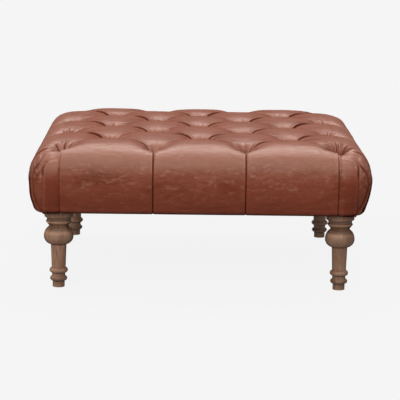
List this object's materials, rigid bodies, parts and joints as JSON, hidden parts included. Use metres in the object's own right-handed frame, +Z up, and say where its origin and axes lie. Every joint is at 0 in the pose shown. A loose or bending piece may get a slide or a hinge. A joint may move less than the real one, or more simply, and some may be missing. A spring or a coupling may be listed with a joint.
{
  "type": "footstool",
  "caption": "Large square footstool with a deep-buttoned leather seat over a padded hardwood frame, standing on turned wooden legs.",
  "frame": {"origin": "on the floor under the middle of the seat", "axes": "+Z up; the front faces -Y, and the four sides are alike"},
  "size_m": [1, 1, 0.4308],
  "materials": {
    "leather": "satin",
    "leg_wood": "satin",
    "frame_wood": "matte",
    "plywood": "matte",
    "foam": "matte",
    "dust_cloth": "matte",
    "twine": "matte",
    "black_plastic": "matte",
    "steel": "satin"
  },
  "bodies": {
    "root": {"leather_cover": "leather", "buttons": "leather", "button_twines": "twine", "twine_toggles": "black_plastic", "foam_slab": "foam", "side_pad_front": "foam", "side_pad_back": "foam", "side_pad_left": "foam", "side_pad_right": "foam", "corner_pad_front_left": "foam", "corner_pad_front_right": "foam", "corner_pad_back_left": "foam", "corner_pad_back_right": "foam", "deck_board": "plywood", "deck_screws": "steel", "front_rail": "frame_wood", "back_rail": "frame_wood", "left_rail": "frame_wood", "right_rail": "frame_wood", "rail_dowels": "frame_wood", "cross_rail_left": "frame_wood", "cross_rail_right": "frame_wood", "corner_block_front_left": "frame_wood", "corner_block_front_right": "frame_wood", "corner_block_back_left": "frame_wood", "corner_block_back_right": "frame_wood", "tee_nuts": "steel", "hanger_bolts": "steel", "leg_front_left": "leg_wood", "leg_front_right": "leg_wood", "leg_back_left": "leg_wood", "leg_back_right": "leg_wood", "foot_glides": "black_plastic", "dust_cover": "dust_cloth"}
  },
  "joints": []
}
